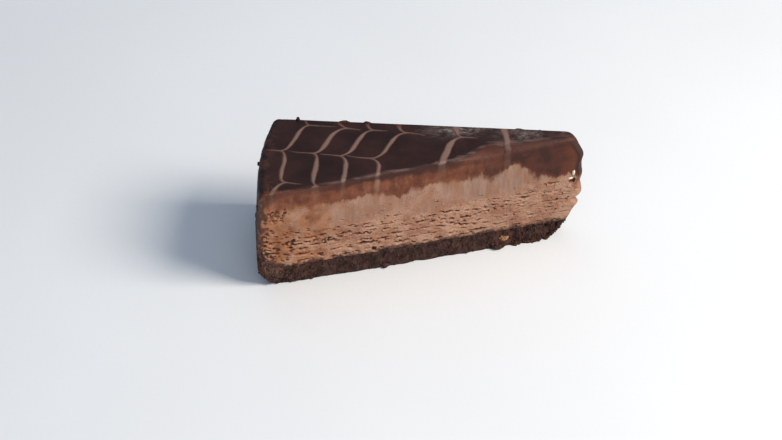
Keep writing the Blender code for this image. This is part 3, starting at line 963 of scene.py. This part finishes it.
# The crust: a dark crumb layer, craggy at the cuts and most of all towards the tip
crust = {
    "spacing": 0.36 * mm,
    "filletRows": 22,
    "edgeShares": (0, 0.12, 0.3, 0.6, 1),
    "middleSteps": 44,
    "levels": 26,
    "cragDepth": 0.7 * mm,
    "cragTipFactor": 2.2,
    "cragTipReach": 45.0 * mm,
    "crumbs": 0.42 * mm,
    "fineCrumbs": 0.24 * mm,
    "cavities": 0.9 * mm,
    "coarseLumps": (1.5 * mm, 1.5 * mm, 1.5 * mm, 81.3),  # sizes along x, y and z, and a seed
    "fineLumps": (0.7 * mm, 0.7 * mm, 0.7 * mm, 87.3),
    "hollowLumps": (2.4 * mm, 2.4 * mm, 1.2 * mm, 83.3),
    "redLumps": (3 * mm, 3 * mm, 2 * mm, 89.3),
    "liftOff": 0.25 * mm,  # no crumb relief below this height, so that the slice stands flat
    "tipRough": 1.1,
    "rimRough": 0.7,
    "haloReach": 2.6 * mm,  # how far the brown round the pale piece of biscuit reaches
    "grainSizes": (420.0, 1300.0, 900.0, 0.6),
    "bump": 0.22 * mm,
}


def makeCrustMaterial(name, first, second, fleck):
    made, read, shader, vector = startMaterial(name, 0.85)
    grain = useGrain(vector, crust)
    patches = ramp(cloud(vector, 300.0, 4.0), 0.4, 0.62)
    face = layered(
        mixShades(grain["Mottle"], first, second),
        (times(read("dusty"), patches), "#6a4d40"),
        (read("browned"), "#54301f"),
        (ramp(grain["Grain"], 0.58, 0.74, 0.0, 0.8), fleck),
        # Painted shade in the crust's cavities
        (read("cavity"), "#1d0f0b"),
        # Painted shade in the open pores
        (times(grain["Pores"], 0.55), "#1c110e"),
    )
    fill(shader, {"Base Color": face, "Normal": bumped(grain["Height"], crust["bump"])})
    return made


def makeCrust(material):
    rows = np.append(rowsAlong(crust), [innerWall + 0.5 * cake["coat"], radius])
    (i, j, k), r, t, up, faces = gridShell(rows, np.linspace(0, 1, crust["levels"]), crust)
    bottom, top = crustBottom(r), np.minimum(crustTop(r), cake["lip"]) + seamWave(r, t)
    z = bottom + (top - bottom) * up
    side = np.round(t)
    nearTip = 1 - smoothStep(tipLoss, crust["cragTipReach"], r)
    size = cake["cragSize"]
    relief = crust["cragDepth"] * lumps(r / size, side, z / size, cake["cragSeed"])
    relief = relief * (1 + (crust["cragTipFactor"] - 1) * nearTip)
    places = placeWithRelief(r, t, z, relief)

    def lumpy(label):
        *sizes, seed = crust[label]
        return lumps(*(places / sizes).T, seed)

    exposed = smoothStep(0, crust["liftOff"], places[:, 2]) * (k < k.max())
    onFace = (j == 0) | (j == j.max()) | (i == 0) | (i == i.max())
    nearRim = smoothStep(radius - 22 * mm, radius - 8 * mm, r)
    nearTop = smoothStep(3.2 * mm, 1.2 * mm, top - z)
    cavity = smoothStep(0.1, 0.45, lumpy("hollowLumps")) * nearTop * (0.25 + 0.75 * nearTip) * exposed
    ragged = 0.4 + np.maximum(crust["tipRough"] * nearTip, crust["rimRough"] * nearRim)
    paleR, _, paleZ = chunks["paleBiscuit"][:3]
    pale = placeOnSlice(paleR * mm, 0.0, paleZ * mm)
    halo = np.exp(-(((places - pale) ** 2).sum(1)) / crust["haloReach"] ** 2)
    reddened = 0.4 * nearTip * smoothStep(-0.1, 0.4, lumpy("redLumps"))
    values = dict(crumbDensity=exposed * onFace * np.minimum(ragged, 1), cavity=cavity)
    values.update(browned=np.maximum(0.85 * halo, reddened))
    values.update(dusty=nearRim * smoothStep(9 * mm, 4 * mm, top - z))
    made = makeMesh("crumbCrust", places, faces, material, values)
    crumbly = crust["crumbs"] * lumpy("coarseLumps") + crust["fineCrumbs"] * lumpy("fineLumps")
    pushOut(made.data, crumbly * exposed * ragged - crust["cavities"] * cavity)
    settle(made, "biscuit_crust", "biscuit_crust")
    print("crust:", len(faces) * 2, "triangles")
    return made


# Crumbs that cling to the crust, scattered over it by one tree of nodes
crumbs = {"Density": 1.35e6, "Smallest": 0.22 * mm, "Largest": 0.62 * mm, "Roughen": 0.12 * mm, "Seed": 11}


def makeCrumbTree():
    inputs = {"Geometry": "Geometry", **dict.fromkeys(("Density", "Smallest", "Largest", "Roughen"), "Float")}
    inputs.update({"Seed": "Int", "Material": "Material"})
    tree, given, result = newGroup("crumbScatter", "GeometryNodeTree", inputs, {"Geometry": "Geometry"})

    def randomValue(kind, low, high, seedShift):
        made = tree.nodes.new("FunctionNodeRandomValue")
        made.data_type = kind
        places = [place for place, socket in enumerate(made.inputs) if socket.enabled]
        fill(made, {places[0]: low, places[1]: high, "Seed": plus(given["Seed"], seedShift)})
        return next(socket for socket in made.outputs if socket.enabled)

    def vectorNode(operation, values):
        made = tree.nodes.new("ShaderNodeVectorMath")
        made.operation = operation
        return fill(made, values)[0]

    weight = fill(tree.nodes.new("GeometryNodeInputNamedAttribute"), {"Name": "crumbDensity"})["Attribute"]
    spread = {"Mesh": given["Geometry"], "Density": times(given["Density"], weight), "Seed": given["Seed"]}
    points = addNode("GeometryNodeDistributePointsOnFaces", spread)["Points"]
    ball = fill(tree.nodes.new("GeometryNodeMeshIcoSphere"), {"Radius": 1.0, "Subdivisions": 1})["Mesh"]
    turn = randomValue("FLOAT_VECTOR", (0, 0, 0), (6.28, 6.28, 6.28), 1)
    size = randomValue("FLOAT", given["Smallest"], given["Largest"], 2)
    stretch = randomValue("FLOAT_VECTOR", (0.6, 0.6, 0.6), (1.3, 1.3, 1.3), 3)
    scale = vectorNode("SCALE", {0: stretch, "Scale": size})
    placing = {"Points": points, "Instance": ball, "Rotation": turn, "Scale": scale}
    placed = addNode("GeometryNodeInstanceOnPoints", placing)["Instances"]
    real = addNode("GeometryNodeRealizeInstances", {"Geometry": placed})["Geometry"]
    rough = fill(tree.nodes.new("ShaderNodeTexNoise"), {"Scale": 1400.0})["Color"]
    bothWays = vectorNode("SUBTRACT", {0: rough, 1: (0.5, 0.5, 0.5)})
    offset = vectorNode("SCALE", {0: bothWays, "Scale": given["Roughen"]})
    moved = addNode("GeometryNodeSetPosition", {"Geometry": real, "Offset": offset})["Geometry"]
    finished = addNode("GeometryNodeSetMaterial", {"Geometry": moved, "Material": given["Material"]})
    fill(result, {"Geometry": finished["Geometry"]})
    return tree


def scatterCrumbs(surface, material):
    tree = makeCrumbTree()
    holder = linkPiece("crumbHolder", surface.data.copy())
    modifier = holder.modifiers.new("crumbScatter", "NODES")
    modifier.node_group = tree
    given = {**crumbs, "Material": material}
    for item in tree.interface.items_tree:
        if item.in_out == "INPUT" and item.name in given:
            modifier[item.identifier] = given[item.name]
    graph = bpy.context.evaluated_depsgraph_get()
    data = bpy.data.meshes.new_from_object(holder.evaluated_get(graph))
    bpy.data.objects.remove(holder)
    movePoints(data, readPoints(data, "co"))
    settle(linkPiece("crustCrumbs", data), "biscuit_crust")
    print("crumbs:", len(data.polygons), "triangles")


# Single bits: a pale piece of biscuit, larger crumbs that cling to the slice, and glossy moist specks at its
# tip, painted pale cream as painted highlights.
# Each has r, t, z, three half sizes, how far it stands out, all in millimetres but t, a seed and a finish
chunks = {
    "paleBiscuit": (34.4, 0, 3.9, (1.75, 1.1, 1.2), -0.35, 3.1, "pale"),
    "lowCrumb": (36.0, 0, 0.9, (2.3, 1.4, 0.9), 0.5, 8.3, "dark"),
    "frontCrumb": (82.5, 0, 1.0, (1.5, 1.0, 0.9), 0.5, 13.7, "dark"),
    "backEdgeCrumb": (120.2, 1, 40.9, (0.7, 0.7, 0.9), -0.9, 5.9, "dark"),
    "backEdgeFlake": (102.0, 1, 41.0, (1.7, 0.7, 0.55), -0.8, 6.7, "dark"),
    "farEdgeFlake": (92.5, 1, 41.2, (1.3, 0.6, 0.4), -0.7, 8.9, "dark"),
    "tipEdgeFlake": (30.5, 1, 42.5, (1.6, 0.5, 0.35), -0.5, 4.7, "dark"),
    "tipEdgeCrumb": (22.5, 1, 42.4, (0.8, 0.45, 0.4), -0.4, 7.3, "dark"),
    "rimCrumb": (129.3, 0.47, 37.4, (0.6, 0.8, 0.7), 0, 9.1, "dark"),
    "coatCrumb": (129.0, 0.03, 34.0, (0.55, 0.8, 1.3), 0.1, 4.3, "dark"),
    "lipCrumb": (129.1, 0.02, 18.6, (0.7, 0.9, 0.8), 0.2, 2.9, "dark"),
    "highSpeck": (12.5, 0.03, 28.6, (0.5, 0.45, 0.95), 0.15, 7.7, "wetGlint"),
    "lowSpeck": (13.9, 0.03, 26.3, (0.85, 0.4, 0.45), 0.1, 1.3, "wetGlint"),
}


def makeWetGlintMaterial():
    # Pale cream that stands in for the specks' glints: painted highlight
    made, _, shader, vector = startMaterial("wetGlintSpeck", 0.08, 0.5)
    mottle = ramp(cloud(vector, 900.0), 0.3, 0.6)
    fill(shader, {"Base Color": mixShades(mottle, "#d2b595", "#f4e9da")})
    return made


def makeChunk(name, material, slotName):
    r, t, up, sizes, out, seed, _ = chunks[name]
    side = -1 if t < 0.5 else 1
    angle = side * 0.5 * cake["cutAngle"]
    cosine, sine = math.cos(angle), math.sin(angle)
    middle = placeOnSlice(r * mm, float(t), up * mm)
    length, depth, height = (size * mm for size in sizes)
    shift = Vector((seed,) * 3)
    shape = bmesh.new()
    bmesh.ops.create_icosphere(shape, subdivisions=4, radius=1.0)
    for vertex in shape.verts:
        spot = vertex.co * 1.6
        wobble = 1 + 0.35 * noise.noise(spot + shift) + 0.12 * noise.noise(spot * 4 + shift)
        x, y, z = vertex.co * wobble
        x, y = x * length, y * depth + side * out * mm
        vertex.co = keepInside(middle + (x * cosine + y * sine, y * cosine - x * sine, z * height))
    data = bpy.data.meshes.new(name)
    shape.to_mesh(data)
    shape.free()
    data.shade_smooth()
    data.materials.append(material)
    settle(linkPiece(name, data), slotName)


darkCrumb = makeCrustMaterial("darkBiscuitCrumb", "#321e18", "#4a2f28", "#684940")
paleCrumb = makeCrustMaterial("paleBiscuitCrumb", "#8a5f42", "#ab7f5c", "#b98f6c")
makeFilling()
makeGlaze()
scatterCrumbs(makeCrust(darkCrumb), darkCrumb)
finishes = {
    "pale": (paleCrumb, "biscuit_crust"),
    "dark": (darkCrumb, "biscuit_crust"),
    "wetGlint": (makeWetGlintMaterial(), "chocolate_filling"),
}
for chunkName, chunkFacts in chunks.items():
    makeChunk(chunkName, *finishes[chunkFacts[-1]])
print("pieces ready")

# The floor, the light and the camera
studio = {
    "floorShades": ("#eceef0", "#e8eaec"),
    "floorSize": 6.0,
    "worldShade": (0.48, 0.68, 1.0, 1),
    "worldStrength": 0.27,
    "lights": (  # place, size, power and tint
        ("key", (0.75, -0.30, 0.72), 0.5, 14.0, (1.0, 0.93, 0.83)),
        ("fill", (-0.05, -0.95, 0.75), 0.9, 2.4, (1.0, 0.98, 0.95)),
        ("overhead", (0.0, 0.35, 1.2), 1.0, 1.9, (1.0, 0.99, 0.97)),
    ),
    "azimuth": math.radians(-5.1),
    "elevation": math.radians(38.4),
    "roll": math.radians(0.61),
    "distance": 735.0 * mm,
    "aim": (-9.05 * mm, 11.6 * mm, 0.0),
    "lens": 92.2,
}


def makeStudio():
    half = studio["floorSize"] / 2
    corners = [(-half, -half, 0), (half, -half, 0), (half, half, 0), (-half, half, 0)]
    data = bpy.data.meshes.new("paleFloor")
    data.from_pydata(corners, [], [(0, 1, 2, 3)])
    paint, _, shader, vector = startMaterial("palePaint", 0.6)
    mottle = ramp(cloud(vector, 6.0), 0.3, 0.7)
    fill(shader, {"Base Color": mixShades(mottle, *studio["floorShades"])})
    data.materials.append(paint)
    linkPiece("paleFloor", data)
    world = bpy.data.worlds.new("softRoom")
    world.use_nodes = True
    background = world.node_tree.nodes["Background"]
    fill(background, {"Color": studio["worldShade"], "Strength": studio["worldStrength"]})
    bpy.context.scene.world = world
    for name, place, size, power, tint in studio["lights"]:
        lamp = bpy.data.lights.new(name, "AREA")
        lamp.size, lamp.energy, lamp.color = size, power, tint
        made = linkPiece(name, lamp)
        made.location = place
        made.rotation_euler = (-Vector(place)).to_track_quat("-Z", "Y").to_euler()


def makeCamera():
    turn, rise = studio["azimuth"], studio["elevation"]
    back = Vector((math.sin(turn) * math.cos(rise), -math.cos(turn) * math.cos(rise), math.sin(rise)))
    camera = linkPiece("camera", bpy.data.cameras.new("camera"))
    camera.data.lens = studio["lens"]
    camera.location = Vector(studio["aim"]) + back * studio["distance"]
    camera.rotation_euler = (-back).to_track_quat("-Z", "Y").to_euler()
    camera.rotation_euler.rotate_axis("Z", studio["roll"])
    bpy.context.scene.camera = camera


makeStudio()
makeCamera()
bpy.context.scene.view_settings.view_transform = "Standard"
print("studio ready")
